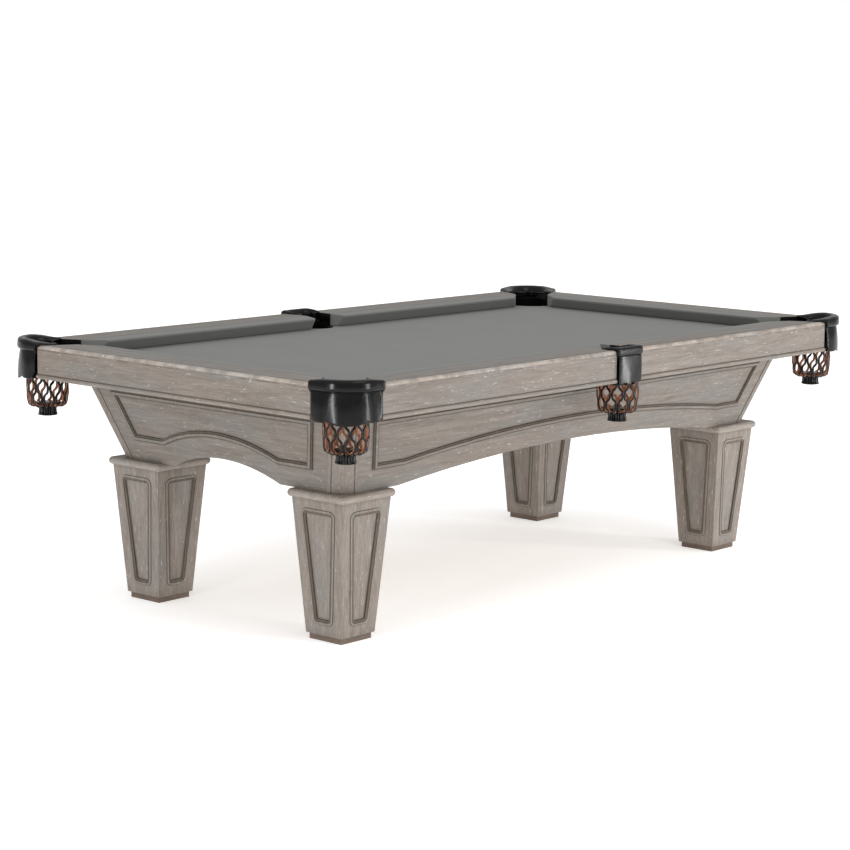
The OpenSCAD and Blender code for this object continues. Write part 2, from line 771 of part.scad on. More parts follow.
front_rail(-1, 1);  // rail_back_left
front_rail(1, 1);  // rail_back_right
end_rail(-1);  // rail_left
end_rail(1);  // rail_right
front_cushion(-1, -1);  // cushion_front_left
front_cushion(1, -1);  // cushion_front_right
front_cushion(-1, 1);  // cushion_back_left
front_cushion(1, 1);  // cushion_back_right
end_cushion(-1);  // cushion_left
end_cushion(1);  // cushion_right
rail_bolts();
rail_sights();
corner_irons();
side_irons();
corner_shields();
side_shields();
corner_net(-1, -1);  // net_front_left
corner_net(1, -1);  // net_front_right
corner_net(-1, 1);  // net_back_left
corner_net(1, 1);  // net_back_right
side_net(-1);  // net_front_side
side_net(1);  // net_back_side
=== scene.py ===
import math

import bmesh
import bpy
from mathutils import Matrix, Vector


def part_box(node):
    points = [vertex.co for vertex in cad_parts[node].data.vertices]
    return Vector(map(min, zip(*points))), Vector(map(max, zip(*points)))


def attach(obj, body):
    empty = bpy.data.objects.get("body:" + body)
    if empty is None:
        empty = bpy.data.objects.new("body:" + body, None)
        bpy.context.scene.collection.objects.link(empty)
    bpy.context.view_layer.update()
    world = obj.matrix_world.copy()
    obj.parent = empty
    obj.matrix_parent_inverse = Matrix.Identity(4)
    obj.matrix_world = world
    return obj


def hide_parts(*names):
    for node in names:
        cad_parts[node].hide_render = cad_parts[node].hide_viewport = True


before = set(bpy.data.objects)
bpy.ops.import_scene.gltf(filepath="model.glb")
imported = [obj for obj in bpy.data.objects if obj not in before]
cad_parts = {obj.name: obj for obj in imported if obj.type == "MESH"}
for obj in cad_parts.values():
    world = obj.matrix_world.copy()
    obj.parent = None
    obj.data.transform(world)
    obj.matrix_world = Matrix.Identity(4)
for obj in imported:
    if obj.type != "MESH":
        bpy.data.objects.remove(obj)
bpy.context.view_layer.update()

# Profiles and outlines are in millimetres, and MM turns them into the frame's metres.
# u and v are the distances in from a rail's outer faces; at a side pocket u runs along the table.
MM = 0.001
SIDES = {"front_left": (-1, -1), "front_right": (1, -1), "back_left": (-1, 1), "back_right": (1, 1)}
BEAD = 4.5           # how far a rail's bead stands proud of its face
A = -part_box("rail_left")[0][0] / MM - BEAD         # half length over the rails' outer faces
B = -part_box("rail_front_left")[0][1] / MM - BEAD   # half width over them
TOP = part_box("rail_left")[1][2] / MM
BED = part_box("bed_cloth")[1][2] / MM
RIM_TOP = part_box("corner_irons")[1][2] / MM
NET_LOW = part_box("net_front_left")[0][2] / MM
SHIELD_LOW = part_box("corner_shields")[0][2] / MM
CABINET_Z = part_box("corner_posts")[0][2] / MM
RAIL_W = 165.0       # outer face to cushion nose
WOOD_D = 115.0       # depth of a rail's wood
CUSHION_D = 50.0     # cushion nose to wood
GAP = 142.0          # table's corner to the end of a rail, along the outer face
SLOPE = 59.0 / 115.0                 # how far a rail's end leans back per unit of depth
LEN = math.sqrt(1 + SLOPE * SLOPE)   # its length per unit of depth
NET_C = 86.0         # centre of a corner net, in from both faces
SIDE_C = 38.0        # centre of a side net, in from the face
CLOTH_IN = 112.6     # bed cloth's edge, in from the faces
CUT_C = 106.0        # centre of the slate's corner cut, in from both faces
CUT_R = 95.0
SIDE_CUT_V = 94.0    # centre of the slate's side cut, in from the face
SIDE_CUT_R = 66.0
SHEET_T = 3.4        # shield leather
LINING_T = 2.4       # throat lining leather

# The cabinet flares upwards, and the legs taper downwards; these are in metres
FLARE = 0.343
FLARE_COS = 0.9459
CABINET_HALF = (1.038, 0.480)   # half length and half width at the cabinet's bottom
LEG_AT = (0.950, 0.392)
LEG_FOOT_Z = 0.019
LEG_FOOT_HALF = 0.072
LEG_TAPER = 31.0 / 409.0


# ---------------------------------------------------------------- materials

class Nodes:
    """Short names for the shader nodes of one material."""

    def __init__(self, name):
        self.m = bpy.data.materials.new(name)
        self.m.use_nodes = True
        self.t = self.m.node_tree
        self.p = self.t.nodes["Principled BSDF"]
        self.co = self.t.nodes.new("ShaderNodeTexCoord").outputs["Object"]

    def put(self, socket, value):
        if isinstance(value, bpy.types.NodeSocket):
            self.t.links.new(value, socket)
        else:
            socket.default_value = value

    @staticmethod
    def rgba(color):
        return color if isinstance(color, bpy.types.NodeSocket) else (*color, 1.0)

    def math(self, op, a, b=0.0, clamp=False):
        n = self.t.nodes.new("ShaderNodeMath")
        n.operation = op
        n.use_clamp = clamp
        self.put(n.inputs[0], a)
        self.put(n.inputs[1], b)
        return n.outputs[0]

    def vec(self, op, a, b):
        n = self.t.nodes.new("ShaderNodeVectorMath")
        n.operation = op
        self.put(n.inputs[0], a)
        self.put(n.inputs[1], b)
        return n.outputs[0]

    def xyz(self):
        n = self.t.nodes.new("ShaderNodeSeparateXYZ")
        self.put(n.inputs[0], self.co)
        return n.outputs

    def product(self, *factors):
        value = factors[0]
        for factor in factors[1:]:
            value = self.math("MULTIPLY", value, factor)
        return value

    def line(self, value, at, width):
        """1 where value equals at, falling to 0 at a distance of width."""
        off = self.math("ABSOLUTE", self.math("SUBTRACT", value, at))
        return self.math("SUBTRACT", 1.0, self.math("DIVIDE", off, width), True)

    def noise(self, scale, detail=3.0, rough=0.55, warp=0.0, shift=(0, 0, 0)):
        n = self.t.nodes.new("ShaderNodeTexNoise")
        v = self.vec("MULTIPLY", self.co, scale)
        self.put(n.inputs["Vector"], self.vec("ADD", v, shift))
        n.inputs["Scale"].default_value = 1.0
        n.inputs["Detail"].default_value = detail
        n.inputs["Roughness"].default_value = rough
        n.inputs["Distortion"].default_value = warp
        return n.outputs["Fac"]

    def span(self, value, low, high, to_low=0.0, to_high=1.0):
        n = self.t.nodes.new("ShaderNodeMapRange")
        n.interpolation_type = "SMOOTHSTEP"
        self.put(n.inputs["Value"], value)
        for key, v in (("From Min", low), ("From Max", high), ("To Min", to_low), ("To Max", to_high)):
            self.put(n.inputs[key], v)
        return n.outputs[0]

    def mix(self, fac, a, b, blend="MIX"):
        n = self.t.nodes.new("ShaderNodeMix")
        n.data_type = "RGBA"
        n.blend_type = blend
        self.put(n.inputs["Factor"], fac)
        for key, v in ((6, a), (7, b)):
            self.put(n.inputs[key], self.rgba(v))
        return n.outputs[2]

    def brown(self, value):
        """A grey of this value, turning brown as it darkens."""
        n = self.t.nodes.new("ShaderNodeCombineColor")
        dark = self.math("MINIMUM", value, 1.0)
        for i, power in enumerate((0.0, 0.13, 0.34)):
            self.put(n.inputs[i], self.math("MULTIPLY", value, self.math("POWER", dark, power)))
        return n.outputs[0]

    def done(self, color, rough, height=None, strength=0.3, distance=0.001, **more):
        self.put(self.p.inputs["Base Color"], self.rgba(color))
        self.put(self.p.inputs["Roughness"], rough)
        for key, v in more.items():
            self.put(self.p.inputs[key.replace("_", " ")], v)
        if height is not None:
            b = self.t.nodes.new("ShaderNodeBump")
            b.inputs["Strength"].default_value = strength
            b.inputs["Distance"].default_value = distance
            self.put(b.inputs["Height"], height)
            self.t.links.new(b.outputs[0], self.p.inputs["Normal"])
        return self.m


def along(axis, length, across):
    """A noise scale stretched along one axis of the table."""
    return tuple(length if a == axis else across for a in "xyz")


def wood(name, axis, tone, seed, shade=None, grey=None):
    """Grey-brown weathered wood with the grain along an axis.

    shade(n) gives a factor for the colour: painted shade and highlights, and real scrapes and joints on the rails.
    grey(n) gives a share of plain grey mixed into it, a painted sheen on the rail tops."""
    n = Nodes(name)
    s = (seed, seed * 1.7, seed * 0.6)
    broad = n.noise(along(axis, 1.6, 14), 3, 0.5, 0.4, s)
    band = n.noise(along(axis, 4.0, 62), 4, 0.62, 0.6, s)
    fine = n.noise(along(axis, 14, 240), 3, 0.65, 0.2, s)
    pores = n.noise(along(axis, 40, 620), 2, 0.6, 0.0, s)

    def paint(*rgb):
        return tuple(k * tone for k in rgb)

    color = n.mix(n.span(band, 0.3, 0.7), paint(0.222, 0.190, 0.160), paint(0.330, 0.288, 0.246))
    color = n.mix(n.span(broad, 0.35, 0.7, 0.0, 0.55), color, paint(0.306, 0.250, 0.216))
    patch = n.noise(along(axis, 2.2, 11), 3, 0.55, 0.3, (seed + 5, 3, 1))
    color = n.mix(n.span(patch, 0.42, 0.66, 0, 0.65), color, paint(0.274, 0.264, 0.250))
    # Painted sheen: the rail tops are mixed towards grey
    if grey:
        color = n.mix(grey(n), color, paint(0.262, 0.250, 0.230))
    grain = n.mix(0.34, color, paint(0.13, 0.105, 0.09))
    color = n.mix(n.span(fine, 0.36, 0.66, 0.0, 1.0), grain, color)
    color = n.mix(n.span(pores, 0.62, 0.72, 0.0, 0.42), color, paint(0.56, 0.52, 0.475))
    speck = n.noise(along(axis, 34, 150), 2, 0.7, 0.0, (seed + 9, 1, 4))
    color = n.mix(n.span(speck, 0.64, 0.72, 0.0, 0.6), color, paint(0.60, 0.56, 0.52))
    pit = n.noise(along(axis, 22, 190), 2, 0.6, 0.0, (seed + 2, 8, 3))
    color = n.mix(n.span(pit, 0.30, 0.23, 0.0, 0.5), color, paint(0.10, 0.08, 0.068))
    # Painted shade and highlights, with the rails' real scrapes and joints, as a factor on the colour
    if shade:
        color = n.mix(1.0, color, n.brown(shade(n)), "MULTIPLY")
    height = n.math("ADD", n.math("MULTIPLY", fine, 0.6), n.math("MULTIPLY", pores, 0.4))
    return n.done(color, n.span(band, 0.3, 0.7, 0.62, 0.5), height, 0.35, 0.0012, Specular_IOR_Level=0.32)


def from_face(n, axis):
    """Distance in from the outer face of a rail that runs along an axis, and the height, in metres."""
    x, y, z = n.xyz()
    half, across = (B, y) if axis == "x" else (A, x)
    return n.math("SUBTRACT", half * MM, n.math("ABSOLUTE", across)), z


def rail_marks_and_highlight(axis):
    """Painted highlight, with some wear, on the lighter rounded outer edge; dark hand scraped lines along the top,
    and a dark joint at the cloth.
    """
    def shade(n):
        d, z = from_face(n, axis)
        ragged = n.noise(along(axis, 9, 2), 3, 0.7)
        wander = n.math("MULTIPLY", n.math("SUBTRACT", ragged, 0.5), 0.010)
        width = n.span(n.noise(along(axis, 16, 2), 3, 0.7, 0.0, (4, 4, 4)), 0.35, 0.65, 0.0015, 0.0085)
        scraped = n.line(n.math("ADD", d, wander), 0.0215, width)
        top = n.span(z, (TOP - 3) * MM, (TOP - 1) * MM)
        scraped = n.product(scraped, top, 0.72)
        # Scratches along the face, just under its rounded edge
        low = n.math("ADD", n.math("SUBTRACT", z, (TOP - 13) * MM), n.math("MULTIPLY", wander, 0.5))
        broken = n.span(n.noise(along(axis, 12, 3), 3, 0.7, 0.0, (7, 1, 2)), 0.42, 0.6, 0.0, 0.55)
        low = n.product(n.line(low, 0.0, 0.0022), n.span(d, 0.004, 0.001), broken)
        joint = n.math("MULTIPLY", n.span(d, 0.1120, 0.1142), 0.55)
        bead = n.product(n.line(z, (TOP - 88) * MM, 0.0022), n.span(d, 0.004, 0.002, 0.0, 0.45))
        # Painted highlight, with some wear, along the rounded outer top edge; noise breaks it up
        edge = n.product(n.span(d, 0.016, 0.012), n.span(z, (TOP - 11) * MM, (TOP - 7) * MM))
        wear_and_highlight = n.span(n.noise(along(axis, 20, 5), 3, 0.7, 0.0, (2, 9, 5)), 0.35, 0.6, 0.30, 1.0)
        under = n.math("SUBTRACT", 1.0, n.span(z, (TOP - 89) * MM, (TOP - 86) * MM))
        f = n.math("ADD", 1.0, n.math("MULTIPLY", edge, wear_and_highlight))
        f = n.math("ADD", f, n.math("MULTIPLY", under, 0.10))
        return n.product(f, *(n.math("SUBTRACT", 1.0, part) for part in (scraped, low, joint, bead)))
    return shade


def rail_top_sheen(axis):
    """Painted sheen: rail tops are greyer than their sides, inside the lighter outer strip."""
    def share(n):
        d, z = from_face(n, axis)
        top = n.span(z, (TOP - 3) * MM, (TOP - 1) * MM)
        patch = n.span(n.noise(along(axis, 3, 12), 3, 0.5, 0.3, (6, 2, 9)), 0.42, 0.62, 1.0, 0.35)
        return n.product(top, n.span(d, 0.014, 0.020), patch)
    return share


def flare_rise(n, z):
    """How far the cabinet's face stands out at a height, against its bottom."""
    return n.math("MULTIPLY", n.math("SUBTRACT", z, CABINET_Z * MM), FLARE)


def apron_moulding_shade(n):
    """Painted shade on the ledges on both sides of the raised bead of an apron moulding."""
    x, y, z = n.xyz()
    rise = flare_rise(n, z)
    dx, dy = (n.math("SUBTRACT", n.math("SUBTRACT", n.math("ABSOLUTE", across), half), rise)
              for across, half in zip((x, y), CABINET_HALF))
    h = n.math("MULTIPLY", n.math("MAXIMUM", dx, dy), FLARE_COS)
    return n.span(h, 0.0052, 0.0074, 0.50, 0.98)


def leg_moulding_shade(n):
    """Painted shade on the ledges beside the bead round each leg panel."""
    x, y, z = n.xyz()
    lx, ly = (n.math("ABSOLUTE", n.math("SUBTRACT", n.math("ABSOLUTE", across), at))
              for across, at in zip((x, y), LEG_AT))
    half = n.math("ADD", LEG_FOOT_HALF, n.math("MULTIPLY", n.math("SUBTRACT", z, LEG_FOOT_Z), LEG_TAPER))
    h = n.math("SUBTRACT", n.math("MAXIMUM", lx, ly), half)
    return n.span(h, 0.0004, 0.0016, 0.50, 1.0)


def leg_shade(n):
    """Painted shade: a leg is darker at its top, under the cap, and at its foot."""
    z = n.xyz()[2]
    return n.math("MULTIPLY", n.span(z, 0.428, 0.412, 0.86, 1.0), n.span(z, 0.02, 0.05, 0.9, 1.0))


def post_shade(n):
    """Painted shade in the grooves beside the flat beads on a corner post, which is also darker at its bottom."""
    x, y, z = n.xyz()
    rise = flare_rise(n, z)
    ins = [n.math("SUBTRACT", n.math("ADD", half, rise), n.math("ABSOLUTE", across))
           for across, half in zip((x, y), CABINET_HALF)]
    grooves = [n.math("SUBTRACT", 1.0, n.math("MULTIPLY", n.line(w, at, 0.0022), 0.42))
               for at in (0.0475, 0.0625) for w in ins]
    return n.product(*grooves, n.span(z, (CABINET_Z + 6) * MM, (CABINET_Z + 1) * MM, 1.0, 0.8))


def leather(name, color, rough, coat, spec):
    """Leather with a fine pebbled grain and soft creases."""
    n = Nodes(name)
    grain = n.noise((900, 900, 900), 2, 0.6)
    crease = n.noise((70, 70, 45), 3, 0.5, 1.2)
    wear = n.noise((32, 32, 32), 3, 0.6)
    c = n.mix(n.span(wear, 0.45, 0.75, 0.0, 0.35), color, tuple(0.8 * k + 0.004 for k in color))
    height = n.math("ADD", n.math("MULTIPLY", grain, 0.16), crease)
    r = n.math("ADD", n.span(wear, 0.3, 0.7, rough - 0.05, rough + 0.09), n.span(grain, 0.3, 0.7, -0.03, 0.05))
    return n.done(c, r, height, 0.35, 0.0022,
                  Coat_Weight=coat, Coat_Roughness=0.16, Specular_IOR_Level=spec)


def cloth_material(name, color):
    """Short napped woven wool."""
    n = Nodes(name)
    warp = n.noise((1500, 160, 400), 2, 0.6)
    weft = n.noise((160, 1500, 400), 2, 0.6, 0.0, (3, 5, 2))
    nap = n.noise((5, 5, 5), 3, 0.5)
    weave = n.math("ADD", warp, weft)
    c = n.mix(n.span(weave, 0.7, 1.3), tuple(k * 0.93 for k in color), tuple(k * 1.07 for k in color))
    c = n.mix(n.span(nap, 0.3, 0.7, 0.0, 0.25), c, tuple(k * 0.95 for k in color))
    return n.done(c, n.span(nap, 0.3, 0.7, 0.88, 0.95), weave, 0.12, 0.0004,
                  Specular_IOR_Level=0.12, Sheen_Weight=0.06, Sheen_Roughness=0.5)


def plain(name, color, rough, scale, metallic=0.0, contrast=0.15):
    """Stone, metal, rubber or sawn wood with a fine mottled finish; scale is the noise's stretch."""
    n = Nodes(name)
    a = n.noise(scale, 4, 0.6)
    b = n.noise(tuple(k * 7 for k in scale), 3, 0.6, 0.0, (2, 6, 1))
    f = n.math("ADD", n.math("MULTIPLY", a, 0.6), n.math("MULTIPLY", b, 0.4))
    dark, light = (tuple(k * (1 + side * contrast) for k in color) for side in (-1, 1))
    c = n.mix(n.span(f, 0.3, 0.7), dark, light)
    return n.done(c, n.span(b, 0.3, 0.7, rough - 0.06, rough + 0.06), f, 0.3, 0.0006, Metallic=metallic)


CLOTH = (0.201, 0.201, 0.193)
M = {
    "rail_x": wood("rail_wood_x", "x", 0.71, 1.0, rail_marks_and_highlight("x"), rail_top_sheen("x")),
    "rail_y": wood("rail_wood_y", "y", 0.76, 4.0, rail_marks_and_highlight("y"), rail_top_sheen("y")),
    "apron_x": wood("apron_wood_x", "x", 0.72, 7.0),
    "apron_y": wood("apron_wood_y", "y", 0.69, 9.0),
    "moulding": wood("moulding_wood", "x", 0.70, 11.0, apron_moulding_shade),
    "post": wood("post_wood", "z", 0.75, 13.0, post_shade),
    "leg": wood("leg_wood", "z", 0.88, 16.0, leg_shade),
    "leg_moulding": wood("leg_moulding_wood", "z", 0.84, 18.0, leg_moulding_shade),
    "cap": wood("cap_wood", "x", 1.08, 21.0),
    "foot": plain("foot_wood", (0.125, 0.088, 0.066), 0.6, (14, 14, 80), contrast=0.3),
    "frame": plain("frame_wood", (0.50, 0.36, 0.22), 0.7, (12, 60, 60)),
    "slate": plain("slate_stone", (0.09, 0.095, 0.10), 0.75, (20, 20, 20)),
    "cloth": cloth_material("bed_cloth", CLOTH),
    "cushion": cloth_material("cushion_cloth", CLOTH),
    "leather": leather("pocket_leather", (0.0028, 0.0026, 0.0026), 0.18, 0.3, 0.07),
    "lining": leather("throat_leather", (0.0025, 0.0024, 0.0024), 0.5, 0.0, 0.06),
    "strap": leather("strap_leather", (0.0032, 0.0030, 0.0030), 0.2, 0.32, 0.08),
    "strap_edge": leather("strap_edge_leather", (0.42, 0.165, 0.078), 0.5, 0.1, 0.4),
    "steel": plain("zinc_steel", (0.55, 0.55, 0.57), 0.35, (60, 60, 60), 1.0),
    "rubber": plain("pad_rubber", (0.03, 0.03, 0.03), 0.8, (90, 90, 90)),
    "sight": plain("sight_inlay", (0.10, 0.083, 0.070), 0.5, (120, 120, 120)),
}


def dress(node, key):
    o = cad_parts[node]
    o.data.materials.clear()
    o.data.materials.append(M[key])


for s in SIDES:
    for stem, key in (("leg_body_", "leg"), ("foot_block_", "foot"), ("leveler_pad_", "rubber"),
                      ("leveler_stud_", "steel"), ("rail_", "rail_x")):
        dress(stem + s, key)
for key, nodes in {
    "rail_y": ("rail_left", "rail_right"), "cap": ("leg_caps",), "leg_moulding": ("leg_panel_mouldings",),
    "apron_x": ("apron_front", "apron_back"), "apron_y": ("apron_left", "apron_right"),
    "post": ("corner_posts",), "moulding": ("apron_mouldings",), "sight": ("rail_sights",),
    "frame": ("corner_blocks", "cross_beams", "centre_beam", "slate_liner"),
    "slate": ("slate_left", "slate_middle", "slate_right"),
    "steel": ("leveler_nuts", "leg_bolts", "slate_screws", "rail_bolts"),
}.items():
    for node in nodes:
        dress(node, key)


# ---------------------------------------------------------------- mesh helpers

def corner_point(sx, sy):
    """Turns corner coordinates in millimetres (distances in from the two outer faces) into metres."""
    return lambda u, v, z: Vector((sx * (A - u) * MM, sy * (B - v) * MM, z * MM))


def side_point(sy):
    """The same at a side pocket: u runs along the table from the pocket's middle."""
    return lambda u, v, z: Vector((u * MM, sy * (B - v) * MM, z * MM))


def link(name, data):
    """A new object of the scene with this data."""
    o = bpy.data.objects.new(name, data)
    bpy.context.scene.collection.objects.link(o)
    return o


def make(name, verts, faces, materials, smooth=True):
    """A mesh object on the table's body."""
    mesh = bpy.data.meshes.new(name)
    mesh.from_pydata([tuple(v) for v in verts], [], faces)
    bm = bmesh.new()
    bm.from_mesh(mesh)
    bmesh.ops.recalc_face_normals(bm, faces=bm.faces)
    bm.to_mesh(mesh)
    bm.free()
    for p in mesh.polygons:
        p.use_smooth = smooth
    o = link(name, mesh)
    for key in materials:
        mesh.materials.append(M[key])
    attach(o, "table")
    return o


def rings_to_faces(count, size, closed_ring=True, caps=True, loop=False):
    """Quads between count rings of size points; loop joins the last ring to the first."""
    faces = []
    steps = count if loop else count - 1
    for i in range(steps):
        a, b = i * size, ((i + 1) % count) * size
        for j in range(size if closed_ring else size - 1):
            k = (j + 1) % size
            faces.append((a + j, a + k, b + k, b + j))
    if caps and not loop:
        faces.append(tuple(range(size)))
        faces.append(tuple(range((count - 1) * size, count * size)))
    return faces


def soften(o):
    m = o.modifiers.new("round", "SUBSURF")
    m.levels = m.render_levels = 1
    return o


def thicken(o, thickness):
    m = o.modifiers.new("thick", "SOLIDIFY")
    m.thickness = thickness * MM
    m.offset = 0.0


def smooth(x):
    """Smoothstep from 0 to 1."""
    x = min(1.0, max(0.0, x))
    return x * x * (3 - 2 * x)


def end_u(v, e=0.0):
    """The end of a rail at a corner pocket, moved e into the pocket."""
    return GAP + v * SLOPE - e * LEN


def side_end_u(v, e=0.0):
    """The end of a rail at a side pocket, moved e into the pocket."""
    return 59.5 - 2.5 * v / WOOD_D - e


def hit(c, angle, line):
    """How far a ray from c at an angle runs to a polyline, taking the farthest crossing."""
    dx, dy = math.cos(angle), math.sin(angle)
    best = 0.0
    for (ax, ay), (bx, by) in zip(line, line[1:]):
        ex, ey = bx - ax, by - ay
        den = dx * ey - dy * ex
        if abs(den) < 1e-9:
            continue
        t = ((ax - c[0]) * ey - (ay - c[1]) * ex) / den
        k = ((ax - c[0]) * dy - (ay - c[1]) * dx) / den
        if t > 0 and -1e-6 <= k <= 1 + 1e-6:
            best = max(best, t)
    return best


# ---------------------------------------------------------------- leather covered irons

IRON_RING = 15   # points round the section of a rolled rim


def iron(name, place, c, inner, low, high, angles, is_front, rise):
    """A rolled horseshoe of leather over its casting, lofted round c.

    inner is the outline of its throat; low and high are its outer outlines below and above the rails' tops.
    rise(a) is how much higher than the casting the crown of the roll stands at an angle."""
    verts = []
    for a in angles:
        ri, rl, rh = hit(c, a, inner), hit(c, a, low), hit(c, a, high)
        w = max(rh - ri, 2.0)
        e = min(6.0, 0.3 * w)
        base = RIM_TOP - 28 if is_front(a) else RIM_TOP - 35
        tuck = min(7.0, 0.3 * w)
        roll = 1.0 if is_front(a) else 0.0
        crown = RIM_TOP + rise(a) - (2.2 if w < 9 else 0.0)
        ring = [
            (ri + 0.4, base + 1), (ri, base + 8), (ri, TOP - 6), (ri + 0.25 * e, TOP - 0.5),
            (ri + e, crown - 2.6), (ri + 0.38 * w, crown - 0.5), (ri + 0.6 * w, crown),
            (rh - e, crown - 1.2), (rh - 0.35 * e, crown - 4.2), (rh, TOP + 0.7 + 0.4 * max(rise(a), 0)),
            (rl + 0.2 * roll, TOP - 0.4), (rl + roll, TOP - 6), (rl + 0.6 * roll, TOP - 12),
            (rl - 0.3 * tuck, base + 4.0), (rl - tuck, base + 0.5),
        ]
        dx, dy = math.cos(a), math.sin(a)
        verts += [place(c[0] + r * dx, c[1] + r * dy, z) for r, z in ring]
    faces = rings_to_faces(len(angles), IRON_RING)
    return soften(make(name, verts, faces, ["leather"]))


def arc(cx, cy, r, a0, a1, n):
    return [(cx + r * math.cos(a0 + (a1 - a0) * i / n), cy + r * math.sin(a0 + (a1 - a0) * i / n))
            for i in range(n + 1)]


def spread(a0, a1, n):
    return [a0 + (a1 - a0) * i / n for i in range(n)]


def swap(points):
    return [(v, u) for u, v in reversed(points)]


def fan(marks, counts, middle):
    """Angles from mark to mark and on to the middle, then mirrored past it."""
    first = []
    marks = marks + [middle]
    for a0, a1, n in zip(marks, marks[1:], counts):
        first += spread(a0, a1, n)
    return first + [middle] + [2 * middle - a for a in reversed(first)]


def corner_iron(name, sx, sy):
    c = (NET_C, NET_C)
    middle = math.radians(-135)
    arm = 58.0        # depth of the horseshoe's arms
    front_v = -12.0   # front of the roll
    half_inner = [(end_u(arm, 2), arm), (128.4, 43.6)] + arc(NET_C, NET_C, 60, math.radians(-45), middle, 24)
    inner = half_inner + swap(half_inner)[1:]
    nose = [(end_u(-0.3, -5), -0.3), (end_u(front_v, -5), front_v), (100, front_v)]
    half_low = [(end_u(arm, 0.6), arm), (end_u(-0.3, 0.6), -0.3)] + nose[1:]
    half_high = [(end_u(arm, -3.5), arm), (end_u(20, -5), 20)] + nose
    bend = arc(100, 100, 112, math.radians(-90), math.radians(-180), 24)
    low = half_low + bend + swap(half_low)
    high = half_high + bend + swap(half_high)

    def at(u, v):
        return math.atan2(v - c[1], u - c[0])

    a_tip = at(end_u(arm, 2) + 1.2, arm + 0.2)
    a_face = at(end_u(-0.3, 0.6), -0.3) - 0.004
    a_front = at(end_u(front_v, -5) - 0.4, front_v)
    angles = fan([a_tip, a_face, a_front], (14, 3, 26), middle)
    return iron(name, corner_point(sx, sy), c, inner, low, high, angles,
                is_front=lambda a: abs(a - middle) <= abs(a_front - middle) + 1e-6,
                rise=lambda a: 9.5 - 12.5 * smooth((abs(a - middle) / abs(a_tip - middle) - 0.35) / 0.65))


def side_iron(name, sy):
    c = (0.0, 52.0)
    middle = math.radians(-90)
    arm = 66.0
    front_v = -12.0
    half_w, r = 50.0, 24.0     # throat: half width, and radius of its corners
    throat_v = 9 + r
    face_u, k = 64.5, 7.0      # front: half width, and radius of its corners
    inner = ([(side_end_u(arm, 1.5), arm), (half_w, throat_v)]
             + arc(half_w - r, throat_v, r, 0, middle, 10)
             + arc(r - half_w, throat_v, r, middle, math.radians(-180), 10)
             + [(-half_w, throat_v), (-side_end_u(arm, 1.5), arm)])
    front = [(face_u, front_v + k)] + arc(face_u - k, front_v + k, k, 0, middle, 6)
    low = [(side_end_u(arm, 0.6), arm), (side_end_u(0, 0.6), -0.3)] + front
    high = [(side_end_u(arm, -2), arm), (side_end_u(24, -5), 24), (face_u, -0.3)] + front
    low, high = (half + [(-u, v) for u, v in reversed(half)] for half in (low, high))

    def at(u, v):
        return math.atan2(v - c[1], u - c[0])

    a_tip = at(side_end_u(arm, 1.2), arm - 0.3)
    a_face = at(side_end_u(0, 0.6), -0.3) - 0.004
    a_front = at(face_u - 0.1, front_v + k)
    angles = fan([a_tip, a_face, a_front], (12, 3, 18), middle)
    return iron(name, side_point(sy), c, inner, low, high, angles,
                is_front=lambda a: abs(a - middle) <= abs(a_front - middle) + 1e-6,
                rise=lambda a: 3.0 - 5.0 * smooth((abs(a - middle) / abs(a_tip - middle) - 0.4) / 0.6))


def ear(name, place, line_u, v0, v1):
    """Leather flap on the end of a rail, between the iron's arm and the cushion."""
    last = 8
    rows = []
    for i in range(last + 1):
        v = v0 + (v1 - v0) * i / last
        inside = 0 < i < last
        back = 0.6 + (3.6 if inside else 2.4)
        high = TOP - 0.8 - (0 if inside else 1.2)
        ring = [(0.6, BED + 1.5), (0.6, high), (1.6, high + 0.5), (back, high - 1.5), (back + 0.3, BED + 25),
                (back, BED + 1.5)]
        rows += [place(line_u(v, e), v, z) for e, z in ring]
    make(name, rows, rings_to_faces(last + 1, 6), ["lining"])


# ---------------------------------------------------------------- shields

def hang_leather(name, place, columns, rows, point):
    """A shaped sheet of leather; point(i, j) gives it over shares of its width and drop."""
    verts = [place(*point(i / (columns - 1), j / (rows - 1))) for i in range(columns) for j in range(rows)]
    o = make(name, verts, rings_to_faces(columns, rows, False, False), ["leather"])
    thicken(o, SHEET_T)
    return soften(o)


def corner_shield(name, sx, sy):
    """Three lobed leather shield that hangs in front of the pocket and follows the rounded corner."""
    centre, r = 100, 106.0     # centre and radius of the bend
    straight = end_u(-6, SHEET_T + 0.1) - centre
    total = 2 * straight + r * math.pi / 2
    cut = 0.48                 # share of the width that the middle lobe takes

    def path(a, out):
        """Point at arc length a from one end, moved outwards."""
        rr = r + out
        if a < straight:
            return centre + straight - a, centre - rr
        if a > total - straight:
            return centre - rr, centre + a - (total - straight)
        t = (a - straight) / (total - 2 * straight) * math.pi / 2
        return centre - rr * math.sin(t), centre - rr * math.cos(t)

    def lobe(k):
        """Height of the lower edge at a share k of the width."""
        q = abs(k - 0.5) * 2
        if q < cut:
            return SHIELD_LOW + 1 + 13 * (q / cut) ** 3
        w = (q - cut) / (1 - cut)
        return SHIELD_LOW + 8 + 6 * (1 - min(w / 0.3, 1)) ** 2.2 + 24 * max(0, (w - 0.6) / 0.4) ** 2.3

    def point(i, j):
        top = RIM_TOP - 24
        z = top + (lobe(i) - top) * j
        q = abs(i - 0.5) * 2
        belly = 1.6 * math.sin(math.pi * j) + 3.2 * j * j - 5.0 * (1 - j) ** 3
        fold = 1.1 * j * math.cos(q * 3 * math.pi) + 0.7 * math.sin(i * 23) * j
        end = -2.2 * max(0, (q - 0.93) / 0.07) ** 2
        u, v = path(i * total, belly + fold + end)
        return u, v, z

    return hang_leather(name, corner_point(sx, sy), 91, 16, point)


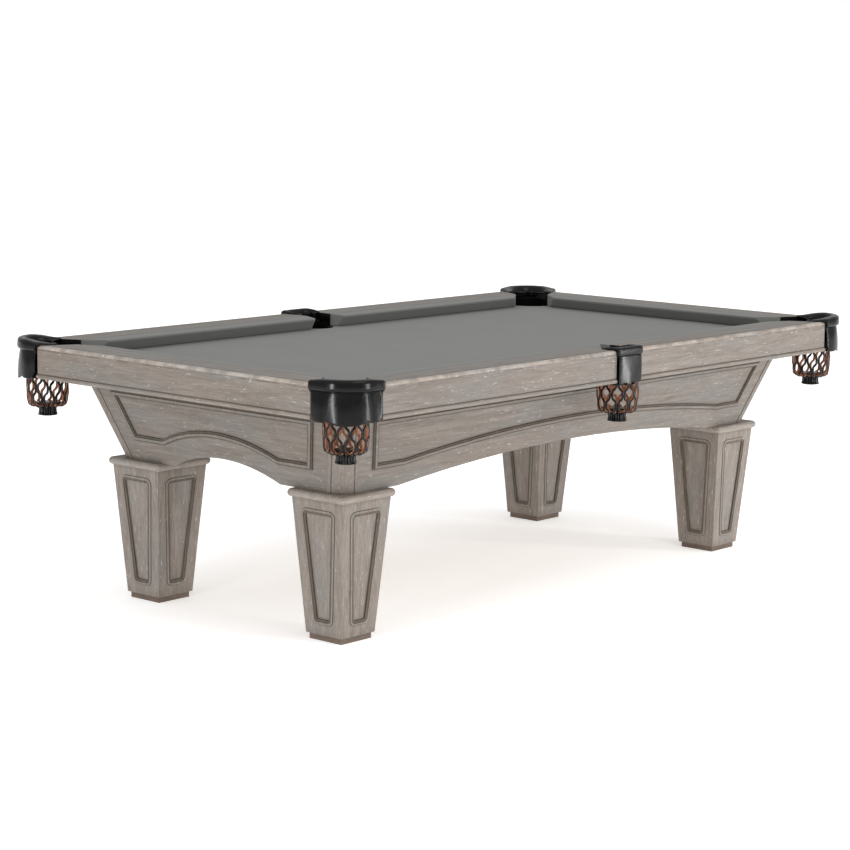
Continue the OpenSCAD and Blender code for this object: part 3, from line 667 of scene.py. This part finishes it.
def side_shield(name, sy):
    def point(i, j):
        q = (i - 0.5) * 2
        top = RIM_TOP - 24
        low = SHIELD_LOW + 3 + 6 * abs(q) ** 6 + 1.2 * math.sin(i * 9)
        z = top + (low - top) * j
        out = (11.2 + 1.2 * math.sin(math.pi * j) + 1.2 * j * math.cos(q * 4)
               - 2.6 * abs(q) ** 5 - 1.8 * (1 - j) ** 3)
        return q * (57.5 + 1.0 * j), -out, z

    return hang_leather(name, side_point(sy), 37, 14, point)


# ---------------------------------------------------------------- nets

BAG_R = 62.0
BAG_TOP = 708.0
STRAPS = 20
PITCH = 69.0          # length of a strap's wave down the bag
STRAP_ROWS = 84
EDGE_ROWS = 62        # rows down to the tassel, where the straps' tan edges and backs show
STEEP = 1.9           # squareness of the wave: neighbours lie together for a while
REACH = 0.61          # share of the half spacing that a strap moves sideways


def meridian(t):
    """The bag's outline from its top rim down, under, and down the tassel.

    Gives the radius, the height and the length so far at share t of it."""
    low = NET_LOW
    pts = [(BAG_R, BAG_TOP), (BAG_R + 1.5, BAG_TOP - 26), (BAG_R + 0.5, BAG_TOP - 52), (BAG_R - 1.5, BAG_TOP - 74),
           (BAG_R - 4, BAG_TOP - 86), (BAG_R - 13, BAG_TOP - 91), (32, BAG_TOP - 91.5), (25.5, BAG_TOP - 95),
           (22, low + 21), (23, low + 11), (25.5, low + 1)]
    lengths = [0.0]
    for a, b in zip(pts, pts[1:]):
        lengths.append(lengths[-1] + math.dist(a, b))
    d = t * lengths[-1]
    for i in range(len(pts) - 1):
        if d <= lengths[i + 1] + 1e-9:
            break
    f = (d - lengths[i]) / (lengths[i + 1] - lengths[i])
    g = f * f * (3 - 2 * f) * 0.35 + f * 0.65
    (r0, z0), (r1, z1) = pts[i], pts[i + 1]
    return r0 + (r1 - r0) * g, z0 + (z1 - z0) * f, d


def strap_path(s):
    """Angle, radius, height, length so far and share of weave left, down one strap."""
    step_angle = 2 * math.pi / STRAPS
    sign = 1 if s % 2 else -1
    path = []
    for i in range(STRAP_ROWS + 1):
        r, z, d = meridian(i / STRAP_ROWS)
        fade = min(1.0, max(0.0, (101 - d) / 20.0))
        turn = 2 * math.pi * d / PITCH
        wave = math.tanh(STEEP * math.cos(turn)) / math.tanh(STEEP)
        a = (s + 0.5) * step_angle + sign * 0.5 * step_angle * (REACH * wave) * fade
        bulge = 0.9 * math.sin(turn + 0.15 * s) * sign * fade
        path.append((a, r + bulge, z, d, fade))
    return path


def strap_ring(path, i, s):
    """Section of a strap, flat against the bag and square to its run: angles, radii and heights."""
    a, r, z, d, fade = path[i]
    p0, p1 = path[max(i - 1, 0)], path[min(i + 1, STRAP_ROWS)]
    tr, tz, ta = p1[1] - p0[1], p1[2] - p0[2], (p1[0] - p0[0]) * r
    ln = math.sqrt(tr * tr + tz * tz + ta * ta)
    tr, tz, ta = tr / ln, tz / ln, ta / ln
    flat = math.hypot(tr, tz)
    nr, nz = -tz / flat, tr / flat
    if nr < 0 and d < 95:
        nr, nz = -nr, -nz
    gather = 1 - fade
    half = (3.9 * (1 - gather) + 4.0 * gather) * (0.94 + 0.06 * math.cos(d * 0.4 + s))
    half = min(half, 0.47 * (2 * math.pi / STRAPS) * r * 1.02 + (0.4 if d > 128 else 0.0))
    thick = 2.7 + (0.4 + 1.9 * (s % 2)) * gather
    section = [(-half, -thick), (half, -thick), (half, 0.25 * thick), (half * 0.72, thick),
               (0, thick * 1.18), (-half * 0.72, thick), (-half, 0.25 * thick)]
    ring = []
    for q, h in section:
        slip = q * -ta
        rr = r + h * nr + slip * tr / max(flat, 1e-6)
        zz = z + h * nz + slip * tz / max(flat, 1e-6)
        ring.append((a + q * flat / max(rr, 5), rr, zz))
    return ring


def net(name, node, place, c):
    """Leather straps, touching by turns their two neighbours, gathered into a ribbed tassel."""
    size = 7   # points round a strap's section; its sides start at points 0, 1 and 6
    verts, faces, slots = [], [], []
    for s in range(STRAPS):
        base = len(verts)
        path = strap_path(s)
        for i in range(STRAP_ROWS + 1):
            for a, r, z in strap_ring(path, i, s):
                verts.append(place(c[0] + r * math.cos(a), c[1] + r * math.sin(a), z))
        for f in rings_to_faces(STRAP_ROWS + 1, size):
            faces.append(tuple(base + k for k in f))
            side = f[0] % size in (0, 1, 6) and f[0] // size < EDGE_ROWS
            slots.append(1 if side or len(f) != 4 else 0)
    o = make(name, verts, faces, ["strap", "strap_edge"])
    for p, k in zip(o.data.polygons, slots):
        p.material_index = k
    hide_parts(node)
    # Core of the tassel and the gathered bottom, seen between the straps
    profile = [(0, NET_LOW + 2), (19.5, NET_LOW + 2), (21, NET_LOW + 5), (19.5, NET_LOW + 24), (21, NET_LOW + 33),
               (32, NET_LOW + 37), (44, NET_LOW + 39), (32, NET_LOW + 42), (0, NET_LOW + 43)]
    turns = 48
    rows = []
    for i in range(turns):
        a = 2 * math.pi * i / turns
        rows += [place(c[0] + r * math.cos(a), c[1] + r * math.sin(a), z) for r, z in profile]
    faces = rings_to_faces(turns, len(profile), False, False, True)
    core = make(name + "_core", rows, faces, ["strap"])
    bm = bmesh.new()
    bm.from_mesh(core.data)
    bmesh.ops.remove_doubles(bm, verts=bm.verts, dist=1e-5)
    bmesh.ops.recalc_face_normals(bm, faces=bm.faces)
    bm.to_mesh(core.data)
    bm.free()


def collar(name, place, mouth, rim):
    """Leather throat lining from the iron and the bed's edge down to the bag; mouth and rim give its edges."""
    count, rows = 72, 13
    verts = []
    for i in range(count):
        a = 2 * math.pi * i / count
        for j in range(rows):
            t = j / (rows - 1)
            p, q = mouth(a), rim(a)
            ease = 1 - (1 - t) ** 1.7
            bend = 0.6 * math.sin(9 * a) * t
            x = p[0] + (q[0] - p[0]) * ease + bend * math.cos(a)
            y = p[1] + (q[1] - p[1]) * ease + bend * math.sin(a)
            verts.append(place(x, y, p[2] + (q[2] - p[2]) * t))
    o = make(name, verts, rings_to_faces(count, rows, False, False, True), ["lining"])
    thicken(o, LINING_T)


def bag_rim(c, front=-99.0):
    """Lining's lower edge, just inside the bag and behind a shield whose back is at the depth front."""
    r = BAG_R - 2.6
    return lambda a: (c[0] + r * math.cos(a), max(c[1] + r * math.sin(a), front), BAG_TOP - 4)


def corner_mouth(a):
    """Lining's upper edge: the iron's throat on the outside, and the cut in the slate towards the bed."""
    inward = (math.cos(a) + math.sin(a)) / math.sqrt(2)
    w = smooth((inward + 0.25) / 0.9)
    out = (NET_C + 61.5 * math.cos(a), NET_C + 61.5 * math.sin(a), RIM_TOP - 33)
    bed = (CUT_C + 90 * math.cos(a), CUT_C + 90 * math.sin(a), BED - 4)
    return tuple(p + (q - p) * w for p, q in zip(out, bed))


def side_mouth(a):
    """The same at a side pocket, whose throat is a rounded rectangle."""
    w = smooth((math.sin(a) + 0.25) / 0.9)
    ca, sa = math.cos(a), math.sin(a)
    k = min(51.5 / max(abs(ca), 1e-6), 52 / max(abs(sa), 1e-6))
    k = (k ** -6 + 56 ** -6) ** (-1 / 6)
    out = (k * ca, 52 + 0.86 * k * sa, RIM_TOP - 33)
    bed = (62 * ca, SIDE_CUT_V + 62 * sa, BED - 4)
    return tuple(p + (q - p) * w for p, q in zip(out, bed))


irons, shields = [], []
for s, (sx, sy) in SIDES.items():
    place = corner_point(sx, sy)
    irons.append(corner_iron("pocket_rim_" + s, sx, sy))
    shields.append(corner_shield("pocket_shield_" + s, sx, sy))
    ear("pocket_ear_a_" + s, place, end_u, 50, WOOD_D - 1.5)
    ear("pocket_ear_b_" + s, lambda u, v, z, p=place: p(v, u, z), end_u, 50, WOOD_D - 1.5)
    net("woven_net_" + s, "net_" + s, place, (NET_C, NET_C))
    collar("throat_lining_" + s, place, corner_mouth, bag_rim((NET_C, NET_C)))
for o in irons:
    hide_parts("corner_irons")
for o in shields:
    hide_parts("corner_shields")
for s, sy in (("front", -1), ("back", 1)):
    place = side_point(sy)
    rim = side_iron(f"pocket_rim_{s}_side", sy)
    shield = side_shield(f"pocket_shield_{s}_side", sy)
    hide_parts("side_irons")
    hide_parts("side_shields")
    ear(f"pocket_ear_a_{s}_side", place, side_end_u, 58, WOOD_D - 1.5)
    ear(f"pocket_ear_b_{s}_side", lambda u, v, z, p=place: p(-u, v, z), side_end_u, 58, WOOD_D - 1.5)
    net(f"woven_net_{s}_side", f"net_{s}_side", place, (0.0, SIDE_C))
    collar(f"throat_lining_{s}_side", place, side_mouth, bag_rim((0.0, SIDE_C), -6.0))


# ---------------------------------------------------------------- cushions and bed cloth

CUSHION_LOW = 770.6
# Depth behind the nose and height, round a cushion's section
CUSHION = [(50.0, 812.8), (34, 812.2), (18, 811.4), (6, 810.6), (2.6, 810.2), (1.2, 809.6), (0.4, 808.6),
           (0.0, 807.0), (0.1, 804.5), (1.0, 802.0), (6, 795.5), (12, 787), (18, 778.5), (23, 771.8),
           (26, 770.7), (38, CUSHION_LOW), (50, CUSHION_LOW)]
NOSE_U = 265.0       # corner to a cushion's end at the nose
BACK_U = WOOD_D + 50 + 100 - 50 / math.tan(math.radians(38))   # the same at its back


def cushion(name, node, place, ends):
    """A cloth covered cushion: place(along, behind the nose, height), ends gives both ends at a depth."""
    mid = (28.0, 795.0)
    shares = [0, 0.0012, 0.0035] + [i / 24 for i in range(1, 24)] + [1 - 0.0035, 1 - 0.0012, 1]
    shrink = {0: 2.4, 1: 0.8, len(shares) - 1: 2.4, len(shares) - 2: 0.8}   # rounds the ends' edges
    verts = []
    for i, t in enumerate(shares):
        k = shrink.get(i, 0.0)
        for d, z in CUSHION:
            ln = math.dist((d, z), mid)
            d2 = d + (mid[0] - d) / ln * k if d < 49 else d
            z2 = max(z + (mid[1] - z) / ln * k, CUSHION_LOW)
            lo, hi = ends(d)
            verts.append(place(lo + (hi - lo) * t, d2, z2))
    o = make(name, verts, rings_to_faces(len(shares), len(CUSHION)), ["cushion"], False)
    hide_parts(node)


def corner_end(d):
    """Distance from the corner to a cushion's cut end, at a depth behind the nose."""
    return NOSE_U + (BACK_U + 0.3 - NOSE_U) * d / CUSHION_D


for s, (sx, sy) in SIDES.items():
    place = lambda a, d, z, sx=sx, sy=sy: Vector((sx * a * MM, sy * (B - RAIL_W + d) * MM, z * MM))
    cushion("cushion_cover_" + s, "cushion_" + s, place,
            lambda d: (69.5 - (69.5 - 57.3) * d / CUSHION_D, A - corner_end(d)))
for s, sx in (("left", -1), ("right", 1)):
    place = lambda a, d, z, sx=sx: Vector((sx * (A - RAIL_W + d) * MM, a * MM, z * MM))
    cushion("cushion_cover_" + s, "cushion_" + s, place, lambda d: (-(B - corner_end(d)), B - corner_end(d)))


def bed_outline():
    """The bed cloth's cut edge: straight sides, round bites at the corners and slots at the side pockets."""
    hx, hy = A - CLOTH_IN, B - CLOTH_IN
    cx, cy, r = A - CUT_C, B - CUT_C, CUT_R
    bite = math.sqrt(r * r - (CLOTH_IN - CUT_C) ** 2)
    a_start = math.atan2(-bite, hx - cx)
    a_end = math.atan2(hy - cy, -bite)
    corner = arc(cx, cy, r, a_start, a_end, 28)
    v, sr = B - SIDE_CUT_V, SIDE_CUT_R
    a = math.atan2(hy - v, math.sqrt(sr * sr - (hy - v) ** 2))
    slot = arc(0, v, sr, a, -math.pi / 2, 16)
    right = corner + slot
    top = right + [(-x, y) for x, y in reversed(right)][1:]
    return top + [(x, -y) for x, y in reversed(top)]


outline = bed_outline()
bm = bmesh.new()
ring = [bm.verts.new((x * MM, y * MM, (BED - 0.5) * MM)) for x, y in outline]
bm.faces.new(ring)
bmesh.ops.triangulate(bm, faces=bm.faces[:])
area = sum(f.calc_area() for f in bm.faces)
bed_mesh = bpy.data.meshes.new("bed_cloth_sheet")
bm.to_mesh(bed_mesh)
bm.free()
bed = link("bed_cloth_sheet", bed_mesh)
bed_mesh.materials.append(M["cloth"])
if bed_mesh.polygons[0].normal.z < 0:
    bed_mesh.flip_normals()
thicken(bed, 0.9)
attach(bed, "table")
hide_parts("bed_cloth")


# ---------------------------------------------------------------- stage, light and camera

def stage_floor():
    n = Nodes("studio_floor")
    color = n.mix(n.noise((0.6, 0.6, 0.6), 2), (0.92, 0.92, 0.92), (0.94, 0.94, 0.94))
    n.done(color, 0.9, Specular_IOR_Level=0.0, Emission_Color=(1.0, 1.0, 1.0, 1.0), Emission_Strength=0.42)
    far = 60
    mesh = bpy.data.meshes.new("floor")
    mesh.from_pydata([(-far, -far, 0), (far, -far, 0), (far, far, 0), (-far, far, 0)], [], [(0, 1, 2, 3)])
    mesh.materials.append(n.m)
    link("floor", mesh)


def studio_world():
    """White behind the object; light from overhead is brighter than from the sides."""
    world = bpy.data.worlds.new("studio")
    bpy.context.scene.world = world
    world.use_nodes = True
    t = world.node_tree
    lit = t.nodes["Background"]
    coord = t.nodes.new("ShaderNodeTexCoord")
    split = t.nodes.new("ShaderNodeSeparateXYZ")
    t.links.new(coord.outputs["Generated"], split.inputs[0])
    ramp = t.nodes.new("ShaderNodeMapRange")
    for key, v in (("From Min", 0.0), ("From Max", 0.9), ("To Min", 0.42), ("To Max", 1.05)):
        ramp.inputs[key].default_value = v
    t.links.new(split.outputs[2], ramp.inputs["Value"])
    t.links.new(ramp.outputs[0], lit.inputs["Strength"])
    white = t.nodes.new("ShaderNodeBackground")
    for back in (lit, white):
        back.inputs["Color"].default_value = (1.0, 1.0, 1.0, 1.0)
    white.inputs["Strength"].default_value = 1.0
    path = t.nodes.new("ShaderNodeLightPath")
    pick = t.nodes.new("ShaderNodeMixShader")
    t.links.new(path.outputs["Is Camera Ray"], pick.inputs[0])
    t.links.new(lit.outputs[0], pick.inputs[1])
    t.links.new(white.outputs[0], pick.inputs[2])
    t.links.new(pick.outputs[0], t.nodes["World Output"].inputs["Surface"])


def area_light(name, at, target, size, power, size_y):
    data = bpy.data.lights.new(name, "AREA")
    data.energy = power
    data.shape = "RECTANGLE"
    data.size = size
    data.size_y = size_y
    o = link(name, data)
    o.location = at
    o.rotation_euler = (Vector(target) - Vector(at)).to_track_quat("-Z", "Y").to_euler()


stage_floor()
studio_world()
area_light("key", (-1.0, -3.5, 4.0), (0.2, 0, 0.6), 2.4, 34, 2.4)
area_light("strip_left", (-4.5, -0.75, 0.80), (-1.2, -0.7, 0.72), 0.34, 40, 1.45)
area_light("strip_right", (-0.2, -3.8, 0.80), (-1.0, -0.7, 0.72), 0.50, 32, 1.45)
area_light("strip_far", (2.2, -2.8, 0.80), (0.9, -0.5, 0.45), 0.24, 30, 1.45)

CAMERA_AT = (-6.117, -5.223, 1.731)
YAW, PITCH_DOWN, ROLL = math.radians(41.107), math.radians(-8.754), math.radians(-0.772)
camera = bpy.data.cameras.new("camera")
cam = link("camera", camera)
forward = Vector((math.cos(PITCH_DOWN) * math.cos(YAW), math.cos(PITCH_DOWN) * math.sin(YAW), math.sin(PITCH_DOWN)))
level = Vector((math.sin(YAW), -math.cos(YAW), 0))
upright = level.cross(forward)
right = math.cos(ROLL) * level - math.sin(ROLL) * upright
up = math.sin(ROLL) * level + math.cos(ROLL) * upright
cam.matrix_world = Matrix.Translation(CAMERA_AT) @ Matrix((right, up, -forward)).transposed().to_4x4()
camera.sensor_width = 36
camera.lens = 103.45
camera.clip_end = 100
bpy.context.scene.camera = cam
bpy.context.scene.view_settings.view_transform = "Standard"
